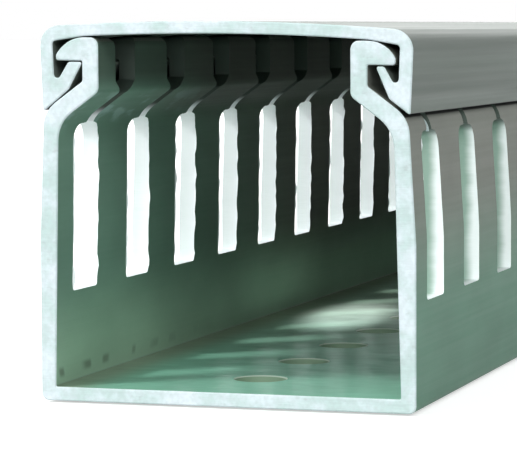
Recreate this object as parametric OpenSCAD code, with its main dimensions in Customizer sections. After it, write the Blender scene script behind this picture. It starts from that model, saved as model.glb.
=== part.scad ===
// Slotted wire duct with a push-on cover, nominal 1 in by 1 in, in a 3 ft stock length.
// X is the width, Y the length, Z up. The origin is at the bottom centre of the whole.

/* [Stock length] */
// Number of slot pitches in the stock length
pitches = 72; // [6:1:80]
// Distance from one slot to the next, and from one floor hole to the next
pitch = 12.7; // [10:0.1:25]

/* [Walls and floor] */
// Width over the two side walls at the foot
width = 32; // [30:0.5:60]
// Thickness of a side wall at its foot
wall = 1.25; // [1:0.05:2]
// Thickness of the floor
floor_t = 1.15; // [1:0.05:2]
// Rounding of the outer edge under the wall
foot_r = 0.6; // [0.2:0.1:1]
// Height at which the outer face starts to lean in
belly_z = 13.5; // [6:0.5:18]
// How far a wall leans in between there and the shoulder
lean = 0.5; // [0:0.05:0.8]

/* [Shoulders] */
// Height of the shoulder, where the wall turns in
shoulder_z = 23.75; // [20:0.25:60]
// Radius of the shoulder on the outside
shoulder_r = 2.6; // [0.6:0.1:3]
// Radius of the shoulder on the inside
bend_r = 3; // [0.6:0.1:3.4]
// Rise from the shoulder to the foot of the neck
slope_h = 2.5; // [1.5:0.1:4]

/* [Necks and heads] */
// Distance from the outside of the foot in to the outer face of the neck
neck_in = 3.9; // [3:0.1:6]
// Thickness of the neck
neck_t = 1.4; // [1:0.05:2]
// Height of the neck on the outside, under the head
neck_h = 1.7; // [1:0.1:4]
// Height of the head
head_h = 1.9; // [1.8:0.05:3]
// Reach of the head beyond the neck
head_reach = 2.3; // [2.2:0.05:2.6]
// Length of the head's rounded nose
nose_l = 2.2; // [1:0.1:2.3]
// Height of the head's rounded nose
nose_h = 1.45; // [0.5:0.05:1.5]

/* [Side slots] */
// Width of a slot between two fingers
slot_w = 5.6; // [3:0.1:8]
// Height of the foot of a slot
slot_z = 8.8; // [4:0.1:20]
// Distance of the head of a slot under the shoulder
slot_down = 1.1; // [0.8:0.1:4]
// Rounding of a slot's upper corners
slot_r = 1; // [0.3:0.1:1.4]
// Width of the break line where two fingers nearly meet
slit_w = 1.5; // [0.5:0.1:3]
// Width of the gap between two necks
neck_gap = 4.6; // [3:0.1:8]
// Height over which the break line flares out to that gap
flare_h = 1.1; // [0.6:0.1:1.3]
// Rounding of a head's upper corners, seen from the side
head_r = 1; // [0.5:0.1:2]

/* [Floor holes] */
// Diameter of a mounting hole in the floor
hole_d = 4.4; // [3:0.1:5.5]
// Distance of the first hole from the near end
hole_first = 9.525; // [4:0.005:12.7]
// Number of holes
holes = 71; // [5:1:71]

/* [Cover] */
// Thickness of the top
cover_t = 1; // [0.8:0.05:1.2]
// Rise of the crown over the width
crown = 0.6; // [0:0.05:0.8]
// Rounding of the cover's long edges
cover_r = 1.3; // [0.5:0.1:1.6]
// Drop of the underside between the heads and the corner of the cover
haunch = 0.25; // [0:0.05:0.4]
// Thickness of a leg
leg_t = 1.15; // [0.8:0.05:1.3]
// How far a leg leans in towards its foot
leg_lean = 0.3; // [0:0.05:0.4]

/* [Cover hooks] */
// Width of a hook's top
hook_t = 0.9; // [0.6:0.05:1.2]
// Drop from a hook's top to where the faces of its groove would meet
groove_h = 2.03; // [1.6:0.01:2.1]

/* [Clearances] */
// Between a head and the cover's underside
top_gap = 0.1; // [0.05:0.01:0.3]
// Between a hook's top and the head over it
head_gap = 0.12; // [0.05:0.01:0.4]
// Between a hook's top and the neck beside it
neck_clear = 0.4; // [0.2:0.05:0.6]
// Between a hook's foot and the shoulder, straight down
shoulder_gap = 0.2; // [0.1:0.02:0.5]

/* [Hidden] */
length = pitches * pitch;
half_w = width / 2;
shoulder_x = half_w - lean;
neck_x = half_w - neck_in;
head_x = neck_x + head_reach;
hook_x = neck_x + neck_clear;
foot_x = half_w - leg_lean;
neck_z = shoulder_z + slope_h;
head_z = neck_z + neck_h;
head_top = head_z + head_h;
hook_z = head_z - head_gap;
slope = slope_h / (shoulder_x - neck_x);
web = wall * sqrt(1 + slope * slope);
crown_r = (half_w * half_w + crown * crown) / max(2 * crown, 0.01);
cover_top = head_top + top_gap + cover_t - crowned(0, neck_x);
edge = 0.3;
grey = [0.52, 0.54, 0.52];

function unit(v) = v / norm(v);

// The points that round the corner b between a and c with radius r, in n flats
function corner(a, b, c, r, n) =
    r == 0 ? [b] :
    let (u = unit(a - b), v = unit(c - b),
         half = acos(u * v) / 2,
         mid = b + unit(u + v) * r / sin(half),
         p = b + u * r / tan(half) - mid,
         q = b + v * r / tan(half) - mid,
         from = atan2(p.y, p.x),
         turn = ((atan2(q.y, q.x) - from + 540) % 360) - 180)
    [for (i = [0:n]) mid + r * [cos(from + turn * i / n), sin(from + turn * i / n)]];

// An outline from rows of x, y, radius and number of flats
function rounded(rows) =
    let (m = len(rows))
    [for (i = [0:m - 1])
        let (a = rows[(i + m - 1) % m], b = rows[i], c = rows[(i + 1) % m])
        each corner([a.x, a.y], [b.x, b.y], [c.x, c.y], b[2], b[3])];

function backwards(rows) = [for (i = [len(rows) - 1:-1:0]) rows[i]];

function flipped(rows) = [for (row = rows) [-row.x, row.y, row[2], row[3]]];

function both(rows) = rounded(concat(rows, flipped(backwards(rows))));

// Height at x of the slope over the shoulder
function slope_z(x) = shoulder_z + slope * (shoulder_x - x);

// Height at x of a crowned face that is at z on the centre plane
function crowned(z, x) = crown == 0 ? z : z - crown_r + sqrt(crown_r * crown_r - x * x);

// A crowned face from x to -x, in n flats
function crown_rows(z, x, n) =
    [for (i = [0:n]) let (at = x * (1 - 2 * i / n)) [at, crowned(z, at), 0, 0]];

// The right half of the base, from the foot up the outside and down the inside
base_half = concat(
    [[half_w, 0, foot_r, 2],
     [half_w, belly_z, 0, 0],
     [shoulder_x, shoulder_z, shoulder_r, 3],
     [neck_x, neck_z, 0, 0],
     [neck_x, head_z, 0, 0],
     [head_x, head_z, edge, 1]],
    [for (a = [90:-22.5:0])
        [head_x - nose_l * (1 - sin(a)), head_top - nose_h * (1 - cos(a)), 0, 0]],
    [[neck_x - neck_t, head_top, neck_t / 2, 2],
     [neck_x - neck_t, slope_z(neck_x - neck_t) - web - edge, neck_t / 2, 1],
     [shoulder_x - wall, slope_z(shoulder_x - wall) - web - edge, bend_r, 2],
     [half_w - wall, floor_t, 0, 0]]);

// One slot's outline, straight through both walls and open at the top
slot_half = [
    [slot_w / 2, slot_z, edge, 1],
    [slot_w / 2, shoulder_z - slot_down, slot_r, 2],
    [slit_w / 2, shoulder_z - slot_down, 0, 0],
    [slit_w / 2, neck_z - flare_h, 0, 0],
    [neck_gap / 2, neck_z, 0, 0],
    [neck_gap / 2, head_top - head_r, 0, 0],
    [neck_gap / 2 + head_r * (1 - cos(45)), head_top - head_r * (1 - sin(45)), 0, 0],
    [neck_gap / 2 + head_r, head_top, 0, 0],
    [neck_gap / 2 + head_r, cover_top, 0, 0]
];

// The right leg of the cover with its hook, from the foot inwards and up
leg_half = [
    [foot_x, slope_z(foot_x) + shoulder_gap, edge, 2],
    [hook_x + leg_t, slope_z(hook_x + leg_t) + shoulder_gap, edge, 1],
    [hook_x, hook_z, edge / 2, 1],
    [hook_x + hook_t, hook_z, edge, 1],
    [half_w - leg_t - leg_lean / 2, hook_z - groove_h, edge, 2]
];

module along(points) {
    translate([0, length / 2, 0])
        rotate([90, 0, 0])
            linear_extrude(length)
                polygon(points);
}

module slot(y) {
    translate([-width, y, 0])
        rotate([90, 0, 90])
            linear_extrude(2 * width)
                polygon(both(slot_half));
}

module floor_hole(y) {
    translate([0, y, -floor_t])
        cylinder(d = hole_d, h = 3 * floor_t, $fn = 32);
}

module duct_base() {
    color(grey)
        difference() {
            along(both(base_half));
            for (i = [0:pitches - 1])
                slot((i + 0.5) * pitch - length / 2);
            for (i = [0:holes - 1])
                floor_hole(hole_first + i * pitch - length / 2);
        }
}

module cover() {
    inner_w = half_w - leg_t;
    top = crown_rows(cover_top, half_w, 10);
    side = [half_w, crowned(cover_top, half_w), cover_r, 4];
    under = crown_rows(cover_top - cover_t, neck_x, 8);
    inner = [inner_w, crowned(cover_top - cover_t, inner_w) - haunch, edge, 1];
    color(grey)
        along(rounded(concat(
            [side], [for (i = [1:9]) top[i]], flipped([side]),
            flipped(leg_half),
            flipped([inner]), backwards(under), [inner],
            backwards(leg_half))));
}

duct_base();
cover();
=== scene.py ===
import math
import random

import bmesh
import bpy
from mathutils import Matrix, Vector, noise


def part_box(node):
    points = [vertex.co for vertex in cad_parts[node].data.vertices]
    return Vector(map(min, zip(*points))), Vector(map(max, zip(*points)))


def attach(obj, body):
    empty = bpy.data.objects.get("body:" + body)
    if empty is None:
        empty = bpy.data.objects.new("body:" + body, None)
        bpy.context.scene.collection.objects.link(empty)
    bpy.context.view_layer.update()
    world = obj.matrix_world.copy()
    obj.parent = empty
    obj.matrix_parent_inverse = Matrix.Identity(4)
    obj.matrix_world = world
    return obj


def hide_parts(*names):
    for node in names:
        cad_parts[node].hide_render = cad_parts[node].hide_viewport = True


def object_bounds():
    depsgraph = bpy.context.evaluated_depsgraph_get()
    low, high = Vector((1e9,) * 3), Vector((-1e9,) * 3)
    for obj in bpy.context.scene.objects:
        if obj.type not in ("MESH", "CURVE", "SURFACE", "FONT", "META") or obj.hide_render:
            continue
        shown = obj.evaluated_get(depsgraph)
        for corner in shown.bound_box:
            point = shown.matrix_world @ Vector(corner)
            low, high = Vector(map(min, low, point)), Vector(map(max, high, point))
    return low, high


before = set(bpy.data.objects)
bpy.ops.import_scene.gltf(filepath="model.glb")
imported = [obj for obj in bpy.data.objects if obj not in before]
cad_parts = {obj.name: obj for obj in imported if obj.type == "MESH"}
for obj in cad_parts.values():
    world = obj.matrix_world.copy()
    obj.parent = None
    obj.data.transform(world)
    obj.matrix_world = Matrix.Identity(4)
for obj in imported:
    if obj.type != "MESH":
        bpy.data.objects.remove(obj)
cadLow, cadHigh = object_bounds()
baseLow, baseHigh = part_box("duct_base")
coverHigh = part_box("cover")[1]
scene = bpy.context.scene
mm = 0.001
random.seed(7)
print("frame loaded, nodes:", sorted(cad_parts))


# nodes that the finishes are made of

def newMaterial(name):
    finish = bpy.data.materials.new(name)
    finish.use_nodes = True
    tree = finish.node_tree
    return finish, tree, tree.nodes["Principled BSDF"]


def addNode(tree, kind, **inputs):
    node = tree.nodes.new(kind)
    for key, value in inputs.items():
        node.inputs[key].default_value = value
    return node


def feed(tree, socket, value):
    # the value is another node's output, a number or a colour
    if isinstance(value, bpy.types.NodeSocket):
        tree.links.new(value, socket)
    elif isinstance(value, (int, float)):
        socket.default_value = value
    else:
        socket.default_value = tuple(value) + (1,)


def objectPlace(tree):
    return tree.nodes.new("ShaderNodeTexCoord").outputs["Object"]


def splitAxes(tree, vector):
    parts = tree.nodes.new("ShaderNodeSeparateXYZ")
    tree.links.new(vector, parts.inputs[0])
    return parts.outputs


def facingUp(tree):
    # 1 on a face that looks straight up, -1 on one that looks straight down
    geometry = tree.nodes.new("ShaderNodeNewGeometry")
    return splitAxes(tree, geometry.outputs["True Normal"])["Z"]


def noiseField(tree, space, stretch, scale, detail=3.0, rough=0.5):
    mapping = addNode(tree, "ShaderNodeMapping", Scale=stretch)
    tree.links.new(space, mapping.inputs["Vector"])
    field = addNode(tree, "ShaderNodeTexNoise", Scale=scale, Detail=detail, Roughness=rough)
    tree.links.new(mapping.outputs["Vector"], field.inputs["Vector"])
    return field.outputs["Fac"]


def mixColours(tree, factor, first, second, blend="MIX"):
    mix = tree.nodes.new("ShaderNodeMix")
    mix.data_type = "RGBA"
    mix.blend_type = blend
    # sockets 0, 6 and 7 take the factor and the two colours, and output 2 gives the colour
    for index, value in ((0, factor), (6, first), (7, second)):
        feed(tree, mix.inputs[index], value)
    return mix.outputs[2]


def rampValue(tree, value, low, high, toLow=0.0, toHigh=1.0, smooth=True):
    ramp = tree.nodes.new("ShaderNodeMapRange")
    ramp.interpolation_type = "SMOOTHSTEP" if smooth else "LINEAR"
    tree.links.new(value, ramp.inputs["Value"])
    ramp.inputs["From Min"].default_value = low
    ramp.inputs["From Max"].default_value = high
    ramp.inputs["To Min"].default_value = toLow
    ramp.inputs["To Max"].default_value = toHigh
    return ramp.outputs["Result"]


def rampAt(tree, value, span, toLow=0.0, toHigh=1.0, smooth=True):
    # a ramp between two places, in millimetres
    return rampValue(tree, value, span[0] * mm, span[1] * mm, toLow, toHigh, smooth)


def mathNode(tree, operation, *values):
    node = tree.nodes.new("ShaderNodeMath")
    node.operation = operation
    for socket, value in zip(node.inputs, values):
        feed(tree, socket, value)
    return node.outputs[0]


def multiplied(tree, product, *others):
    for other in others:
        product = mathNode(tree, "MULTIPLY", product, other)
    return product


def bandAt(tree, value, band):
    # 1 between the two middle places of the band, and fading to 0 at the two outer ones
    rise = rampAt(tree, value, (band[0], band[1]))
    fall = rampAt(tree, value, (band[3], band[2]))
    return multiplied(tree, rise, fall)


def bumpFrom(tree, height, strength, distance, before=None):
    bump = addNode(tree, "ShaderNodeBump", Strength=strength, Distance=distance)
    tree.links.new(height, bump.inputs["Height"])
    if before is not None:
        tree.links.new(before, bump.inputs["Normal"])
    return bump.outputs["Normal"]


def scored(tree, place, stretch, scale, strength):
    # scratches and saw marks, as bump
    marks = noiseField(tree, place, stretch, scale, 3, 0.6)
    return bumpFrom(tree, marks, strength, 0.08 * mm)


def grainOver(tree, place, normal):
    # the fine grain of a moulded face
    grain = noiseField(tree, place, (1, 1, 1), 5200, 2)
    return bumpFrom(tree, grain, 0.12, 0.04 * mm, normal)


# the moulded walls and floor

wallLook = {
    "green": (0.100, 0.225, 0.158),  # the outside, low down
    "warm": (0.160, 0.175, 0.150),  # the outside, near the shoulder
    "inside": (0.145, 0.262, 0.200),
    "deep": (0.082, 0.092, 0.076),  # painted shade for the inside, away from the sawn ends
    "deepTop": (0.062, 0.070, 0.059),
    "neck": (0.075, 0.120, 0.092),
    "low": (0.30, 0.465, 0.34),  # painted light on the inside, just over the floor
    "floorGreen": (0.185, 0.43, 0.315),
    "floorDeep": (0.30, 0.46, 0.345),
    "tan": (0.21, 0.235, 0.165),
    "dirt": (0.050, 0.048, 0.036),
    "gapShade": (0.005, 0.007, 0.006),
    "stretch": (0.30, 0.44, 0.42),
    "tanShare": 0.75,
    "stretchShare": 0.75,
    "dirtShare": 0.5,
    "mottle": 0.07,
    "dieLines": 0.22,
    "gloss": 0.15,
    "roughLow": 0.42,
    "roughHigh": 0.56,
    "floorPolish": 0.16,
    # heights at which the tones change, in millimetres
    "warmRise": (7.0, 19.0),
    "lowFall": (11.0, 2.5),
    "shoulderRise": (21.2, 24.5),
    "leanRise": (22.3, 26.2),
    "neckRise": (25.2, 27.2),
    "headRise": (27.2, 27.6),
    "floorFall": (1.35, 1.20),
    "stretchBand": (22.2, 23.2, 24.6, 25.8),
    "gapShadeBand": (23.52, 23.60, 24.00, 24.35),
    "rubHeight": 2.2,
    "rubFade": (0.6, 0.1),
    # distances from the centre plane, negative where only the left side is meant
    "skin": (14.9, 15.2),
    "leanIn": 4.0,
    "gapShadeWidth": (13.9, 14.2),
    "floorWidth": (15.0, 14.7),
    "tanWidth": (-10.0, -14.0),
    "rubWidth": (-14.0, -14.6),
    "rubSkin": (15.4, 15.0),
    # distances from the nearer sawn end
    "deepReach": (15.0, 75.0),
    "endReach": (36.0, 5.0),
    "rubReach": (45.0, 4.0),
    "rubSpacing": 5.6,
}


def wallPlaces(tree, look):
    # where a point of the wall is, and masks for the parts that differ
    place = objectPlace(tree)
    axes = splitAxes(tree, place)
    height = axes["Z"]
    width = mathNode(tree, "ABSOLUTE", axes["X"])
    fromEnd = mathNode(tree, "SUBTRACT", baseHigh.y, mathNode(tree, "ABSOLUTE", axes["Y"]))
    lean = rampAt(tree, height, look["leanRise"], 0, look["leanIn"] * mm, False)
    floorHigh = rampAt(tree, height, look["floorFall"])
    floorWide = rampAt(tree, width, look["floorWidth"])
    return {
        "place": place,
        "x": axes["X"],
        "y": axes["Y"],
        "height": height,
        "width": width,
        "fromEnd": fromEnd,
        "outside": rampAt(tree, mathNode(tree, "ADD", width, lean), look["skin"]),
        "deep": rampAt(tree, fromEnd, look["deepReach"]),
        "nearEnd": rampAt(tree, fromEnd, look["endReach"]),
        "floorTop": multiplied(tree, floorHigh, floorWide),
    }


def wallTones(tree, look, at):
    height = at["height"]

    # painted light tint: the outside is painted greener low down and greyer towards the shoulder,
    # standing in for the colour of the light falling there; the inside stays green
    outer = mixColours(tree, rampAt(tree, height, look["warmRise"]), look["green"], look["warm"])

    # painted shade: the inside is painted darker in the necks, darker and browner away from the sawn
    # ends, and darkest high up under the cover away from the near end
    inner = mixColours(tree, rampAt(tree, height, look["neckRise"]), look["inside"], look["neck"])
    inner = mixColours(tree, at["deep"], inner, look["deep"])
    shoulders = mixColours(tree, at["nearEnd"], look["deepTop"], inner)
    inner = mixColours(tree, rampAt(tree, height, look["shoulderRise"]), inner, shoulders)
    # painted light: the inside is painted paler just over the floor, where the floor throws light back
    inner = mixColours(tree, rampAt(tree, height, look["lowFall"]), inner, look["low"])
    colour = mixColours(tree, at["outside"], inner, outer)

    # the tops of the heads, hidden under the cover, are plain grey
    crown = multiplied(tree, rampValue(tree, facingUp(tree), 0.3, 0.8),
                       rampAt(tree, height, look["headRise"]))
    colour = mixColours(tree, crown, colour, look["warm"])

    # painted shade: a near-black line on the shoulder, under the foot of the cover, where the gap between
    # the cover and the base is in shade
    line = multiplied(tree, bandAt(tree, height, look["gapShadeBand"]),
                      rampAt(tree, at["width"], look["gapShadeWidth"]))
    colour = mixColours(tree, line, colour, look["gapShade"])

    # painted light: the floor inside is painted paler away from the ends, and a tan strip runs along its
    # left edge
    floorTone = mixColours(tree, at["deep"], look["floorGreen"], look["floorDeep"])
    colour = mixColours(tree, at["floorTop"], colour, floorTone)
    strip = rampAt(tree, at["x"], look["tanWidth"], 0, look["tanShare"])
    return mixColours(tree, multiplied(tree, strip, at["floorTop"]), colour, look["tan"])


def wallMottle(tree, look, at, colour):
    # cloudy mottling all over
    cloud = noiseField(tree, at["place"], (1, 0.5, 1), 240, 4)
    shade = rampValue(tree, cloud, 0.3, 0.7, 1 - look["mottle"], 1 + look["mottle"], False)
    tone = tree.nodes.new("ShaderNodeCombineColor")
    for socket in tone.inputs:
        tree.links.new(shade, socket)
    return mixColours(tree, 1.0, colour, tone.outputs[0], "MULTIPLY")


def stretchMarks(tree, look, at, colour):
    # pale marks along the inner bend, near the ends
    bend = multiplied(tree, bandAt(tree, at["height"], look["stretchBand"]),
                      rampValue(tree, at["outside"], 1, 0), at["nearEnd"])
    streaks = noiseField(tree, at["place"], (1, 0.45, 1), 620, 3)
    streaks = rampValue(tree, streaks, 0.50, 0.66, 0, look["stretchShare"])
    return mixColours(tree, multiplied(tree, bend, streaks), colour, look["stretch"])


def rubMarks(tree, look, at, colour):
    # dirty rubs a few millimetres apart just above the left corner, near the ends
    beat = multiplied(tree, at["y"], 2 * math.pi / (look["rubSpacing"] * mm))
    drift = multiplied(tree, noiseField(tree, at["place"], (1, 1, 1), 130, 1), 9)
    spots = rampValue(tree, mathNode(tree, "SINE", mathNode(tree, "ADD", beat, drift)), 0.55, 1.0)
    offLine = mathNode(tree, "SUBTRACT", at["height"], look["rubHeight"] * mm)
    offLine = mathNode(tree, "ABSOLUTE", offLine)
    mask = multiplied(tree, rampAt(tree, offLine, look["rubFade"]),
                      rampAt(tree, at["x"], look["rubWidth"]),
                      rampAt(tree, at["width"], look["rubSkin"]),
                      rampAt(tree, at["fromEnd"], look["rubReach"], 0, look["dirtShare"]), spots)
    return mixColours(tree, mask, colour, look["dirt"])


def wallPvc(name, look):
    finish, tree, shader = newMaterial(name)
    at = wallPlaces(tree, look)
    colour = wallTones(tree, look, at)
    for change in (wallMottle, stretchMarks, rubMarks):
        colour = change(tree, look, at, colour)
    tree.links.new(colour, shader.inputs["Base Color"])

    # fine lines run along the walls, while the floor is rippled and more polished
    lines = noiseField(tree, at["place"], (1, 0.012, 1), 2600, 3, 0.6)
    lines = multiplied(tree, lines, rampValue(tree, at["floorTop"], 0, 1, 1, 0.05))
    ripples = noiseField(tree, at["place"], (1, 1.4, 1), 190, 2)
    ripples = multiplied(tree, ripples, at["floorTop"])
    normal = bumpFrom(tree, lines, look["dieLines"], 0.08 * mm)
    normal = bumpFrom(tree, ripples, 0.3, 0.6 * mm, normal)
    tree.links.new(grainOver(tree, at["place"], normal), shader.inputs["Normal"])
    shader.inputs["Specular IOR Level"].default_value = look["gloss"]
    dull = rampValue(tree, lines, 0.0, 0.7, look["roughLow"], look["roughHigh"], False)
    polish = multiplied(tree, at["floorTop"], look["floorPolish"])
    tree.links.new(mathNode(tree, "SUBTRACT", dull, polish), shader.inputs["Roughness"])
    return finish


# the moulded cover

coverLook = {
    "colour": (0.145, 0.176, 0.155),
    "dark": (0.118, 0.144, 0.126),
    "gapShade": (0.005, 0.007, 0.006),
    "dieLines": 0.32,
    "gloss": 0.1,
    "roughLow": 0.40,
    "roughHigh": 0.52,
    # height in millimetres under which the downward faces of the legs' feet are painted near black, as
    # painted shade in the gap over the shoulder
    "gapShadeHeight": (25.0, 24.6),
}


def coverPvc(name, look):
    finish, tree, shader = newMaterial(name)
    place = objectPlace(tree)
    height = splitAxes(tree, place)["Z"]
    broad = noiseField(tree, place, (1, 0.02, 1), 420, 2)
    colour = mixColours(tree, rampValue(tree, broad, 0.35, 0.65), look["dark"], look["colour"])
    # painted shade: the feet's downward faces are painted near black
    under = multiplied(tree, rampValue(tree, facingUp(tree), -0.35, -0.75),
                       rampAt(tree, height, look["gapShadeHeight"]))
    colour = mixColours(tree, under, colour, look["gapShade"])
    tree.links.new(colour, shader.inputs["Base Color"])

    lines = noiseField(tree, place, (1, 0.008, 1), 1900, 3, 0.6)
    normal = bumpFrom(tree, lines, look["dieLines"], 0.08 * mm)
    tree.links.new(grainOver(tree, place, normal), shader.inputs["Normal"])
    shader.inputs["Specular IOR Level"].default_value = look["gloss"]
    dull = rampValue(tree, lines, 0.3, 0.7, look["roughLow"], look["roughHigh"], False)
    tree.links.new(dull, shader.inputs["Roughness"])
    return finish


# the sawn ends, pale and chalky

sawnLook = {
    "pale": (0.435, 0.560, 0.545),
    "bright": (0.585, 0.665, 0.700),
    "smudge": (0.34, 0.40, 0.40),
    "smearShare": 0.55,
    "poreShare": 0.22,
    "sawMarks": 0.35,
    "roughness": 0.72,
}


def sawnPvc(name, look):
    finish, tree, shader = newMaterial(name)
    place = objectPlace(tree)
    cloud = noiseField(tree, place, (1, 1, 1), 380, 4, 0.6)
    colour = mixColours(tree, rampValue(tree, cloud, 0.35, 0.65), look["pale"], look["bright"])
    smears = noiseField(tree, place, (1, 1, 1.6), 900, 4, 0.6)
    smears = rampValue(tree, smears, 0.60, 0.78, 0, look["smearShare"])
    colour = mixColours(tree, smears, colour, look["smudge"])
    pores = noiseField(tree, place, (1, 1, 1), 2600, 2)
    pores = rampValue(tree, pores, 0.35, 0.65, 0, look["poreShare"])
    colour = mixColours(tree, pores, colour, look["smudge"])
    tree.links.new(colour, shader.inputs["Base Color"])
    normal = scored(tree, place, (0.25, 1, 3.2), 1600, look["sawMarks"])
    tree.links.new(normal, shader.inputs["Normal"])
    shader.inputs["Roughness"].default_value = look["roughness"]
    return finish


# the punched slots and drilled holes

punchedLook = {
    "litFace": (0.84, 0.92, 0.91),
    "leftLitFace": (0.88, 0.94, 0.95),
    "rightShadedFace": (0.27, 0.41, 0.335),
    "shaded": (0.060, 0.085, 0.070),
    "drilled": (0.17, 0.27, 0.18),
    "litHoleRim": (0.36, 0.46, 0.38),
    "scratches": 0.4,
    "roughness": 0.6,
    # in millimetres: the part painted as lit, from the centre plane out, and the heights of the rest
    "litFaceWidth": (14.6, 15.6),
    "litFaceRipple": 0.3,
    "slitHeight": (22.1, 23.0),
    "slitShift": (-1.2, 0.5),
    "rimHeight": (1.04, 1.08),
    "holeHeight": (3.0, 2.0),
}


def punchedPvc(name, look):
    finish, tree, shader = newMaterial(name)
    place = objectPlace(tree)
    axes = splitAxes(tree, place)
    height = axes["Z"]
    right = rampAt(tree, axes["X"], (-1, 1))

    # painted light and shade: the outer part of every cut face is painted near white, as lit; the inner
    # part is painted near white on the left and darker on the right, as shaded; a wavy line parts them
    wave = look["litFaceRipple"] * mm
    ripple = noiseField(tree, place, (0.2, 1, 1), 800, 3)
    ripple = rampValue(tree, ripple, 0, 1, -wave, wave, False)
    reach = mathNode(tree, "ADD", mathNode(tree, "ABSOLUTE", axes["X"]), ripple)
    faceTone = mixColours(tree, right, look["leftLitFace"], look["rightShadedFace"])
    colour = mixColours(tree, rampAt(tree, reach, look["litFaceWidth"]), faceTone, look["litFace"])

    # painted shade on the narrow slits and the necks over them, more so on the right
    leftShift, rightShift = look["slitShift"]
    shift = rampValue(tree, right, 0, 1, leftShift * mm, rightShift * mm)
    dull = rampAt(tree, mathNode(tree, "ADD", height, shift), look["slitHeight"])
    colour = mixColours(tree, dull, colour, look["shaded"])

    # the sides of the screw holes are as green as the floor; their rims are painted pale, as painted
    # light on the lit top of the hole's wall
    rim = rampAt(tree, height, look["rimHeight"])
    drilled = mixColours(tree, rim, look["drilled"], look["litHoleRim"])
    colour = mixColours(tree, rampAt(tree, height, look["holeHeight"]), colour, drilled)
    tree.links.new(colour, shader.inputs["Base Color"])
    normal = scored(tree, place, (0.15, 1, 1.2), 2400, look["scratches"])
    tree.links.new(normal, shader.inputs["Normal"])
    shader.inputs["Roughness"].default_value = look["roughness"]
    return finish


wallFinish = wallPvc("greyPvcWall", wallLook)
coverFinish = coverPvc("greyPvcCover", coverLook)
sawnFinish = sawnPvc("sawnPvc", sawnLook)
punchedFinish = punchedPvc("punchedPvc", punchedLook)
mouldedSlot, sawnSlot, punchedSlot = 0, 1, 2  # the order of the finishes on a piece
print("finishes made")


# outlines, as points of x and z in millimetres

def filletCorner(a, b, c, radius, flats):
    # points that round the corner b, which lies between a and c
    if radius == 0:
        return [b.copy()]
    u = (a - b).normalized()
    v = (c - b).normalized()
    half = math.acos(max(-1.0, min(1.0, u.dot(v)))) / 2
    centre = b + (u + v).normalized() * radius / math.sin(half)
    start = b + u * radius / math.tan(half) - centre
    stop = b + v * radius / math.tan(half) - centre
    first = math.atan2(start.y, start.x)
    turn = (math.atan2(stop.y, stop.x) - first + 3 * math.pi) % (2 * math.pi) - math.pi
    points = []
    for i in range(flats + 1):
        angle = first + turn * i / flats
        points.append(centre + radius * Vector((math.cos(angle), math.sin(angle))))
    return points


def roundedOutline(rows):
    # rows of x, z, radius and number of flats
    corners = [Vector(row[:2]) for row in rows]
    outline = []
    for i, row in enumerate(rows):
        after = corners[(i + 1) % len(rows)]
        outline += filletCorner(corners[i - 1], corners[i], after, row[2], row[3])
    return outline


def mirrored(rows):
    return [(-row[0],) + tuple(row[1:]) for row in reversed(rows)]


def bowedLine(xFrom, xTo, steps, height):
    places = [xFrom + (xTo - xFrom) * i / steps for i in range(steps + 1)]
    return [(x, height(x), 0, 0) for x in places]


def insetOutline(outline, depth):
    # the same outline, moved in by depth all round; the outline runs anticlockwise
    inner = []
    for i, point in enumerate(outline):
        before = (point - outline[i - 1]).normalized()
        after = (outline[(i + 1) % len(outline)] - point).normalized()
        normal = Vector((-before.y - after.y, before.x + after.x))
        stretch = max(0.5, 1 + before.dot(after))
        inner.append(point + normal / stretch * depth)
    return inner


def anticlockwise(outline):
    area = 0
    for i, point in enumerate(outline):
        area += outline[i - 1].x * point.y - point.x * outline[i - 1].y
    return outline if area > 0 else outline[::-1]


# meshes

def joinRings(work, rings, slot):
    # faces from each ring of points to the next
    for first, second in zip(rings, rings[1:]):
        for i in range(len(first)):
            j = (i + 1) % len(first)
            work.faces.new((first[i], first[j], second[j], second[i])).material_index = slot


def closeEnds(work, first, last, slot):
    for ring in (first, last):
        work.faces.new(ring).material_index = slot


def extrudeProfile(outline, rim):
    # a bar along Y with its sawn ends broken by a small rim
    outline = anticlockwise(outline)
    small = insetOutline(outline, rim)
    near = baseLow.y / mm
    far = baseHigh.y / mm
    work = bmesh.new()
    rings = []
    for y, shape in ((near, small), (near + rim, outline), (far - rim, outline), (far, small)):
        rings.append([work.verts.new((p.x * mm, y * mm, p.y * mm)) for p in shape])
    for i, slot in enumerate((sawnSlot, mouldedSlot, sawnSlot)):
        joinRings(work, rings[i:i + 2], slot)
    closeEnds(work, rings[0][::-1], rings[-1], sawnSlot)
    bmesh.ops.recalc_face_normals(work, faces=work.faces)
    return work


def objectFrom(work, name, finishes=()):
    mesh = bpy.data.meshes.new(name)
    for finish in finishes:
        mesh.materials.append(finish)
    work.to_mesh(mesh)
    work.free()
    result = bpy.data.objects.new(name, mesh)
    scene.collection.objects.link(result)
    return result


def applyModifiers(target):
    graph = bpy.context.evaluated_depsgraph_get()
    mesh = bpy.data.meshes.new_from_object(target.evaluated_get(graph))
    target.modifiers.clear()
    old = target.data
    target.data = mesh
    mesh.name = target.name
    bpy.data.meshes.remove(old)


def settle(point, sideways):
    # the sprung top of the duct sits a little askew over the box below
    pull = max(0.0, min(1.0, (point.z / mm - duct["bellyHeight"]) / duct["skewRise"]))
    pull = pull * pull * (3 - 2 * pull)
    point.z -= (duct["skewTilt"] * point.x + duct["skewSink"] * mm) * pull
    point.x += sideways * mm * pull


def finishMesh(target, sideways):
    sharpAngle = math.radians(30)
    work = bmesh.new()
    work.from_mesh(target.data)
    for vert in work.verts:
        settle(vert.co, sideways)
    for edge in work.edges:
        edge.smooth = len(edge.link_faces) == 2 and edge.calc_face_angle(0) < sharpAngle
    for face in work.faces:
        face.smooth = True
    work.to_mesh(target.data)
    work.free()
    even = target.modifiers.new("evenShading", "WEIGHTED_NORMAL")
    even.keep_sharp = True
    even.weight = 80


# the slotted base: one U-shaped extrusion, its walls punched into hook-headed fingers

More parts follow.
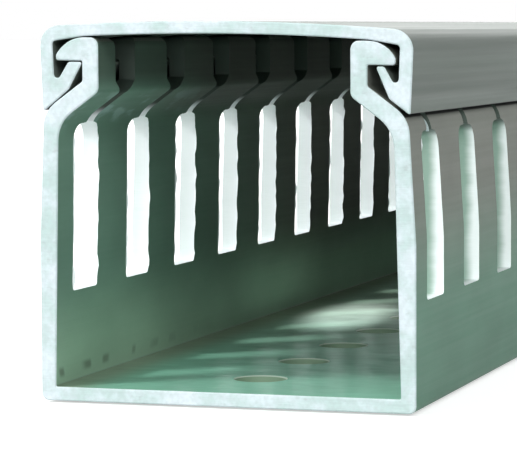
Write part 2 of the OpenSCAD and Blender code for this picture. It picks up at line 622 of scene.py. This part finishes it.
duct = {
    "wall": 1.25,
    "floor": 1.15,
    "footRadius": 0.6,
    "bellyHeight": 13.5,
    "lean": 0.5,
    "shoulderHeight": 23.75,
    "shoulderRadius": 2.6,
    "bendRadius": 3.0,
    "slopeRise": 2.5,
    "neckIn": 3.9,
    "neckThickness": 1.4,
    "neckHeight": 1.7,
    "neckFillet": 0.25,
    "headHeight": 1.9,
    "headReach": 2.3,
    # length, height and bluntness of the rounded noses
    "rightNose": (2.2, 1.4, 1.5),
    "leftNose": (2.4, 1.5, 1.6),
    "noseFlats": 10,
    "softEdge": 0.3,
    "smallFillet": 0.12,
    "sawnRim": 0.1,
    "pitch": 12.7,
    "slotWidth": 5.6,
    "slotFoot": 8.8,
    "slotFootCut": 0.3,
    "slotDown": 1.1,
    "slotRadius": 1.0,
    "tornRadius": 1.6,
    "slitWidth": 1.5,
    "slitLipWidth": 0.15,
    "slitLipHeight": 0.25,
    "neckGap": 4.6,
    "flare": 1.1,
    "headRadius": 1.0,
    # how far the top is shifted, tilted and sunk, and over what height
    "topShift": -0.08,
    "skewTilt": 0.015,
    "skewSink": 0.03,
    "skewRise": 9.5,
    # how far the punched edges wander, and the share of that on a slot's top and on the necks
    "raggedness": 0.06,
    "topRagged": 0.4,
    "neckRagged": 0.6,
    "edgeSpacing": 0.55,
    "neckSpacing": 1.2,
    "waveRate": 0.55,
    "waveShare": 0.75,
    "toothRate": 2.1,
    "toothShare": 0.5,
    # burrs start and stop a little above the foot and the end of the straight edge
    "burrStart": 0.2,
    "burrStop": 0.1,
    "burrSteps": 26,
    "burrHeight": 0.15,
    "burrRate": 0.8,
    "burrLevel": 0.3,
    "burrSwing": 1.5,
    "burrLean": 0.5,
    "burrRoot": (0.03, 0.1, 0.02),  # how deep in the wall, behind its edge and past it
    "sliverShare": 0.15,
    "holeDiameter": 4.4,
    "holeFirst": 9.525,
    "holeRim": 0.1,
    "holeFlats": 48,
}

halfWidth = baseHigh.x / mm
headTop = baseHigh.z / mm
nearEnd = baseLow.y / mm
pitchCount = round((baseHigh.y - baseLow.y) / mm / duct["pitch"])
shoulderX = halfWidth - duct["lean"]
neckX = halfWidth - duct["neckIn"]
headX = neckX + duct["headReach"]
neckFoot = duct["shoulderHeight"] + duct["slopeRise"]
headFoot = neckFoot + duct["neckHeight"]
slotTop = duct["shoulderHeight"] - duct["slotDown"]
slope = duct["slopeRise"] / (shoulderX - neckX)
web = duct["wall"] * math.sqrt(1 + slope * slope)


def slopeHeight(x):
    return duct["shoulderHeight"] + slope * (shoulderX - x)


def innerWallX(z):
    top = slopeHeight(shoulderX - duct["wall"]) - web
    run = (z - duct["floor"]) / (top - duct["floor"])
    return halfWidth - duct["wall"] - duct["lean"] * run


def noseRows(length, height, bluntness):
    # the rounded nose of a head, from its top down to its upright face
    rows = []
    for i in range(duct["noseFlats"] + 1):
        angle = math.pi / 2 * (1 - i / duct["noseFlats"])
        rows.append((headX - length * (1 - math.sin(angle)),
                     headTop - height * (1 - math.cos(angle) ** bluntness), 0, 0))
    return rows


def ductOutline():
    neckInside = neckX - duct["neckThickness"]
    wallInside = shoulderX - duct["wall"]
    halfNeck = duct["neckThickness"] / 2
    halves = []
    for noseLength, noseHeight, bluntness in (duct["rightNose"], duct["leftNose"]):
        rows = [
            (halfWidth, 0, duct["footRadius"], 5),
            (halfWidth, duct["bellyHeight"], 0, 0),
            (shoulderX, duct["shoulderHeight"], duct["shoulderRadius"], 7),
            (neckX, neckFoot, duct["neckFillet"], 3),
            (neckX, headFoot, duct["smallFillet"], 2),
            (headX, headFoot, (duct["headHeight"] - noseHeight) / 2, 3),
        ]
        rows += noseRows(noseLength, noseHeight, bluntness)
        rows += [
            (neckInside, headTop, halfNeck, 6),
            (neckInside, slopeHeight(neckInside) - web - duct["softEdge"], halfNeck, 4),
            (wallInside, slopeHeight(wallInside) - web - duct["softEdge"], duct["bendRadius"], 6),
            (halfWidth - duct["wall"], duct["floor"], duct["smallFillet"], 2),
        ]
        halves.append(rows)
    return roundedOutline(halves[0] + mirrored(halves[1]))


def slotCentre(number):
    return nearEnd + (number + 0.5) * duct["pitch"]


def edgeSeed(number, side, edge):
    # every edge of a slot tears in its own way, and its burr follows the same line
    return number * 2 + side * 0.5 + edge * 0.37


def edgeNoise(height, rate, seed, row):
    # smooth noise up an edge, with another line of it for every seed and row
    return noise.noise(Vector((height * rate, seed, row)))


def wander(height, seed, size):
    # a slow wave with small teeth on it, along a punched edge
    wave = edgeNoise(height, duct["waveRate"], seed * 3.1, 0.5)
    tooth = edgeNoise(height, duct["toothRate"], seed * 5.7, 4.5)
    return size * (duct["waveShare"] * wave + duct["toothShare"] * tooth)


def edgeRun(yFrom, zFrom, yTo, zTo, seed, size, spacing=duct["edgeSpacing"]):
    # an edge of a punched slot, its points wandering a little to the sides except at its ends
    steps = max(1, round(math.hypot(yTo - yFrom, zTo - zFrom) / spacing))
    points = []
    for i in range(steps):
        part = i / steps
        z = zFrom + (zTo - zFrom) * part
        y = yFrom + (yTo - yFrom) * part
        fade = math.sin(math.pi * part) ** 0.3 if part > 0 else 0
        points.append((y + wander(z, seed, size) * fade, z))
    return points


def quarterRound(edge, top, radius, outwards):
    # points from an upright edge round to a level top
    flats = 4
    points = []
    for i in range(flats + 1):
        angle = math.pi / 2 * i / flats
        points.append((edge + outwards * radius * (1 - math.cos(angle)),
                       top - radius * (1 - math.sin(angle))))
    return points


def slotOutline(number, side):
    # from the slot's foot up one edge, over the top and down the other
    half = duct["slotWidth"] / 2
    slitHalf = duct["slitWidth"] / 2
    gapHalf = duct["neckGap"] / 2
    headRadius = duct["headRadius"]
    foot = duct["slotFoot"]
    cut = duct["slotFootCut"]
    lip = duct["slitLipWidth"]
    flareFoot = neckFoot - duct["flare"]
    clearOfHeads = headTop + 1.5
    rough = duct["raggedness"]
    topRough = rough * duct["topRagged"]
    neckRough = rough * duct["neckRagged"]
    edges = []
    for edge in (1, -1):
        seed = edgeSeed(number, side, edge)
        # the punch leaves the corner on the far side of a slot rounder
        radius = duct["tornRadius"] if edge > 0 else duct["slotRadius"]
        run = [(0, foot), (half - cut, foot), (half - 0.3 * cut, foot + 0.3 * cut)]
        run += edgeRun(half, foot + cut, half, slotTop - radius, seed, rough)
        run += quarterRound(half, slotTop, radius, -1)[:-1]
        run += edgeRun(half - radius, slotTop, slitHalf + lip, slotTop, seed, topRough)
        run.append((slitHalf + 0.4 * lip, slotTop + 0.4 * lip))
        run += edgeRun(slitHalf, slotTop + duct["slitLipHeight"], slitHalf, flareFoot, seed, rough)
        run += edgeRun(slitHalf, flareFoot, gapHalf, neckFoot, seed, neckRough)
        run += edgeRun(gapHalf, neckFoot, gapHalf, headTop - headRadius, seed, neckRough,
                       duct["neckSpacing"])
        run += quarterRound(gapHalf, headTop, headRadius, 1)
        run.append((gapHalf + headRadius, clearOfHeads))
        edges.append([(y * edge, z) for y, z in run])
    return edges[0] + edges[1][:0:-1]


def addSlotPunch(tool, number, side):
    # from well inside the wall to well outside it
    inmost = 8
    outmost = halfWidth + 2
    centre = slotCentre(number)
    outline = slotOutline(number, side)
    rings = []
    for x in (inmost, outmost):
        rings.append([tool.verts.new((side * x * mm, (centre + y) * mm, z * mm)) for y, z in outline])
    joinRings(tool, rings, punchedSlot)
    closeEnds(tool, rings[0][::-1], rings[-1], punchedSlot)


def addDrill(tool, number):
    # through the floor, breaking both rims of the hole
    radius = duct["holeDiameter"] / 2
    rim = duct["holeRim"]
    past = 0.5
    wide = radius + rim + past
    floor = duct["floor"]
    flats = duct["holeFlats"]
    centre = nearEnd + duct["holeFirst"] + number * duct["pitch"]
    rings = []
    for z, r in ((-past, wide), (rim, radius), (floor - rim, radius), (floor + past, wide)):
        ring = []
        for i in range(flats):
            angle = 2 * math.pi * i / flats
            at = (r * math.cos(angle) * mm, (centre + r * math.sin(angle)) * mm, z * mm)
            ring.append(tool.verts.new(at))
        rings.append(ring)
    joinRings(tool, rings, punchedSlot)
    closeEnds(tool, rings[0][::-1], rings[-1], punchedSlot)


def punchTool():
    # every slot in both walls and every hole in the floor, in one cutting mesh
    tool = bmesh.new()
    for number in range(pitchCount):
        for side in (1, -1):
            addSlotPunch(tool, number, side)
    for number in range(pitchCount - 1):
        addDrill(tool, number)
    bmesh.ops.recalc_face_normals(tool, faces=tool.faces)
    return objectFrom(tool, "punchTool", (wallFinish, sawnFinish, punchedFinish))


def addBurr(work, number, side, edge):
    # a ragged lip of torn plastic along one inner edge of a slot, rooted in the wall
    seed = edgeSeed(number, side, edge)
    centre = slotCentre(number)
    steps = duct["burrSteps"]
    depth, behind, past = duct["burrRoot"]
    low = duct["slotFoot"] + duct["burrStart"]
    high = slotTop - duct["slotRadius"] + duct["burrStop"]
    rings = []
    for i in range(steps + 1):
        z = low + (high - low) * i / steps
        wave = edgeNoise(z, duct["burrRate"], seed * 7.3, 9.1)
        height = duct["burrHeight"] * max(0.0, duct["burrLevel"] + duct["burrSwing"] * wave)
        if i in (0, steps):
            height = 0
        x = innerWallX(z)
        y = edge * duct["slotWidth"] / 2 + edge * wander(z, seed, duct["raggedness"])
        tip = (-height, -edge * height * duct["burrLean"])
        ring = []
        for dx, dy in ((depth, edge * behind), (depth, -edge * past), tip):
            at = Vector((side * (x + dx) * mm, (centre + y + dy) * mm, z * mm))
            ring.append(work.verts.new(at))
        rings.append(ring)
    joinRings(work, rings, punchedSlot)
    closeEnds(work, rings[0], rings[-1], punchedSlot)


def addSliver(work, number, side):
    # a pale curl of plastic left standing in a slit
    centre = slotCentre(number)
    bend = random.uniform(0.8, 1.1)
    # x, y, height and size, from its root to its tip
    curl = (
        (15.2, 0.82, 22.5, 0.26),
        (15.25, 0.52 * bend, 22.95, 0.20),
        (15.12, 0.30 * bend, 23.35, 0.15),
        (14.85, 0.16 * bend, 23.75, 0.08),
    )
    rings = []
    for x, y, z, size in curl:
        ring = []
        for dx, dy in ((-1, -1), (1, -1), (1, 1), (-1, 1)):
            at = Vector((side * (x + dx * size * 0.4), centre + y + dy * size / 2, z)) * mm
            ring.append(work.verts.new(at))
        rings.append(ring)
    joinRings(work, rings, sawnSlot)
    closeEnds(work, rings[0], rings[-1], sawnSlot)


def addTears(target):
    # burrs in every slot, and a sliver in a few of the slits
    work = bmesh.new()
    work.from_mesh(target.data)
    for number in range(pitchCount):
        for side in (1, -1):
            for edge in (1, -1):
                addBurr(work, number, side, edge)
            if number == 0 or random.random() < duct["sliverShare"]:
                addSliver(work, number, side)
    bmesh.ops.recalc_face_normals(work, faces=work.faces)
    work.to_mesh(target.data)
    work.free()


def makeDuctBase():
    bar = extrudeProfile(ductOutline(), duct["sawnRim"])
    base = objectFrom(bar, "ductBase", (wallFinish, sawnFinish, punchedFinish))
    tool = punchTool()
    punch = base.modifiers.new("punch", "BOOLEAN")
    punch.object = tool
    punch.operation = "DIFFERENCE"
    punch.solver = "MANIFOLD"
    applyModifiers(base)
    bpy.data.objects.remove(tool)
    addTears(base)
    finishMesh(base, duct["topShift"])
    return base


# the cover: a bowed lid whose legs fold in to a hook

lid = {
    "thickness": 1.0,
    "crown": 0.6,
    "topFlats": 18,
    "underFlats": 14,
    "edgeRadius": 1.7,
    "haunch": 0.25,
    "legThickness": 1.15,
    "legLean": 0.3,
    "footFillet": 0.12,
    "heelRadius": 0.5,
    "heelFollow": 0.8,  # how much of a hook's shift the heel follows
    "hookTop": 0.9,
    "hookFillet": 0.15,
    "grooveHeight": 2.03,
    "softEdge": 0.3,
    "headGap": 0.12,
    "neckClear": 0.4,
    "shoulderGap": 0.28,
    "rightTuck": 0.1,
    "rightHookOut": 0.2,
    "leftHookOut": -0.34,
    "rightFootDrop": 0.0,
    "leftFootDrop": 0.22,
    "sawnRim": 0.1,
}


def coverOutline():
    fullHalf = coverHigh.x / mm
    top = coverHigh.z / mm
    bowRadius = (fullHalf * fullHalf + lid["crown"] ** 2) / (2 * lid["crown"])
    hookTop = headFoot - lid["headGap"]
    soft = lid["softEdge"]

    def outer(x):
        return top - bowRadius + math.sqrt(bowRadius * bowRadius - x * x)

    def under(x):
        return outer(x) - lid["thickness"]

    def legRows(half, hookOut, footDrop):
        # from the long edge of the cover down the leg, round the hook and up to the underside
        hookX = neckX + lid["neckClear"]
        footX = half - lid["legLean"]
        heelX = hookX + lid["legThickness"] + lid["heelFollow"] * hookOut
        innerX = half - lid["legThickness"]
        return [
            (half, outer(half), lid["edgeRadius"], 9),
            (footX, slopeHeight(footX) + lid["shoulderGap"] - footDrop, lid["footFillet"], 4),
            (heelX, slopeHeight(heelX) + lid["shoulderGap"], lid["heelRadius"], 4),
            (hookX + hookOut, hookTop, lid["hookFillet"], 3),
            (hookX + lid["hookTop"], hookTop, soft, 3),
            (innerX - lid["legLean"] / 2, hookTop - lid["grooveHeight"], soft, 5),
            (innerX, under(innerX) - lid["haunch"], soft, 4),
        ]

    right = legRows(fullHalf - lid["rightTuck"], lid["rightHookOut"], lid["rightFootDrop"])
    left = legRows(fullHalf, lid["leftHookOut"], lid["leftFootDrop"])
    rows = right + bowedLine(neckX, -neckX, lid["underFlats"], under)
    rows += mirrored(left)
    rows += bowedLine(-fullHalf, fullHalf, lid["topFlats"], outer)[1:-1]
    return roundedOutline(rows)


def makeCover():
    bar = extrudeProfile(coverOutline(), lid["sawnRim"])
    cover = objectFrom(bar, "ductCover", (coverFinish, sawnFinish))
    finishMesh(cover, 0)
    return cover


ductBase = makeDuctBase()
print("slotted base made,", len(ductBase.data.polygons), "faces")
ductCover = makeCover()
print("cover made,", len(ductCover.data.polygons), "faces")

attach(ductBase, "base")
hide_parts("duct_base")
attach(ductCover, "cover")
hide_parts("cover")
print("finishes on, pieces ride on their bodies")


# floor, light and camera

studio = {
    "floorColour": (0.66, 0.67, 0.67),
    "floorRoughness": 0.9,
    "floorGloss": 0.1,
    "floorGlow": 0.65,
    "glowMargin": 4,
    "floorReach": 6.0,
    "floorDrop": 0.2,
    "skyColour": (0.97, 0.99, 1.0),
    "skyLevel": 0.15,
    # turn from the near end round to the right, rise above the floor and spread, in degrees; then level
    "suns": {
        "mainLight": (40, 34, 30, 1.3),
        "lowFront": (10, 19, 24, 0.8),
        "leftWindow": (-52, 54, 9, 2.0),
        "leftFill": (-35, 24, 40, 1.0),
        "overhead": (90, 76, 40, 0.14),
        "rimLight": (190, 15, 24, 0.2),
        "backFill": (200, 26, 60, 0.65),
    },
    # places are in millimetres, from the middle of the near end's foot
    "floorBeam": {
        "target": (-6.6, 60, 1.15),
        "towards": (0.10, -1, 0.36),
        "distance": 260,
        "cone": 1.05,
        "lampRadius": 4,
        "level": 88.0,
        "tint": (1.0, 0.80, 0.92),
    },
    "camera": {
        "place": (70.08, -209.4, 30.64),
        "yaw": -17.779,
        "pitch": -4.131,
        "roll": -0.275,
        "lens": 190.77,
        "sensor": 36,
    },
}


def fromNearEnd(place):
    return Vector((place[0] * mm, cadLow.y + place[1] * mm, place[2] * mm))


def seenDirectly(tree):
    # 1 for the camera and for what shines or is clear, 0 for the light that falls on the duct
    paths = tree.nodes.new("ShaderNodeLightPath")
    seen = mathNode(tree, "MAXIMUM", paths.outputs["Is Camera Ray"], paths.outputs["Is Glossy Ray"])
    return mathNode(tree, "MAXIMUM", seen, paths.outputs["Is Transmission Ray"])


def makeFloor():
    work = bmesh.new()
    reach = studio["floorReach"]
    corners = [work.verts.new((x * reach, y * reach, 0)) for x, y in ((-1, -1), (1, -1), (1, 1), (-1, 1))]
    work.faces.new(corners)
    floor = objectFrom(work, "studioFloor")
    floor.location.z = cadLow.z - studio["floorDrop"] * mm
    finish, tree, shader = newMaterial("studioPaper")
    shader.inputs["Base Color"].default_value = studio["floorColour"] + (1,)
    shader.inputs["Roughness"].default_value = studio["floorRoughness"]
    shader.inputs["Specular IOR Level"].default_value = studio["floorGloss"]
    shader.inputs["Emission Color"].default_value = (1, 1, 1, 1)

    # the paper glows all round the duct, but not under it
    axes = splitAxes(tree, objectPlace(tree))
    margin = studio["glowMargin"] * mm
    beside = rampValue(tree, mathNode(tree, "ABSOLUTE", axes["X"]), cadHigh.x - margin, cadHigh.x)
    beyond = rampValue(tree, mathNode(tree, "ABSOLUTE", axes["Y"]), cadHigh.y - margin, cadHigh.y)
    clear = mathNode(tree, "MAXIMUM", beside, beyond)
    glow = multiplied(tree, seenDirectly(tree), clear, studio["floorGlow"])
    tree.links.new(glow, shader.inputs["Emission Strength"])
    floor.data.materials.append(finish)


def addLamp(name, kind, away, level):
    # away points from what is lit towards the lamp
    lamp = bpy.data.lights.new(name, kind)
    lamp.energy = level
    holder = bpy.data.objects.new(name, lamp)
    holder.rotation_euler = away.to_track_quat("Z", "Y").to_euler()
    scene.collection.objects.link(holder)
    return holder


def addSun(name, turn, rise, spread, level):
    turn = math.radians(turn)
    rise = math.radians(rise)
    away = Vector((math.sin(turn) * math.cos(rise), -math.cos(turn) * math.cos(rise), math.sin(rise)))
    holder = addLamp(name, "SUN", away, level)
    holder.data.angle = math.radians(spread)


def addBeam(name, beam):
    # a narrow beam in at the open end, on to the floor inside
    away = Vector(beam["towards"]).normalized()
    holder = addLamp(name, "SPOT", away, beam["level"])
    holder.location = fromNearEnd(beam["target"]) + away * (beam["distance"] * mm)
    lamp = holder.data
    lamp.spot_size = math.radians(beam["cone"])
    lamp.spot_blend = 1.0
    lamp.color = beam["tint"]
    lamp.shadow_soft_size = beam["lampRadius"] * mm


def makeSky():
    sky = bpy.data.worlds.new("studioSky")
    scene.world = sky
    sky.use_nodes = True
    tree = sky.node_tree
    plain = tree.nodes["Background"]
    plain.inputs["Color"].default_value = studio["skyColour"] + (1,)
    plain.inputs["Strength"].default_value = studio["skyLevel"]
    white = addNode(tree, "ShaderNodeBackground", Color=(1, 1, 1, 1), Strength=1.0)
    choose = tree.nodes.new("ShaderNodeMixShader")
    tree.links.new(seenDirectly(tree), choose.inputs[0])
    tree.links.new(plain.outputs[0], choose.inputs[1])
    tree.links.new(white.outputs[0], choose.inputs[2])
    tree.links.new(choose.outputs[0], tree.nodes["World Output"].inputs["Surface"])


def makeCamera():
    view = studio["camera"]
    yaw, pitch, roll = (math.radians(view[key]) for key in ("yaw", "pitch", "roll"))
    lens = bpy.data.cameras.new("camera")
    lens.sensor_width = view["sensor"]
    lens.lens = view["lens"]
    lens.clip_start = 0.01
    ahead = Vector((math.sin(yaw) * math.cos(pitch), math.cos(yaw) * math.cos(pitch), math.sin(pitch)))
    level = Vector((math.cos(yaw), -math.sin(yaw), 0))
    upright = level.cross(ahead)
    right = level * math.cos(roll) + upright * math.sin(roll)
    up = upright * math.cos(roll) - level * math.sin(roll)
    turned = Matrix((right, up, -ahead)).transposed().to_4x4()
    camera = bpy.data.objects.new("camera", lens)
    camera.matrix_world = Matrix.Translation(fromNearEnd(view["place"])) @ turned
    scene.collection.objects.link(camera)
    scene.camera = camera


makeFloor()
makeSky()
for sunName, sun in studio["suns"].items():
    addSun(sunName, *sun)
addBeam("floorBeam", studio["floorBeam"])
makeCamera()
scene.view_settings.view_transform = "Standard"
print("floor, light and camera set")
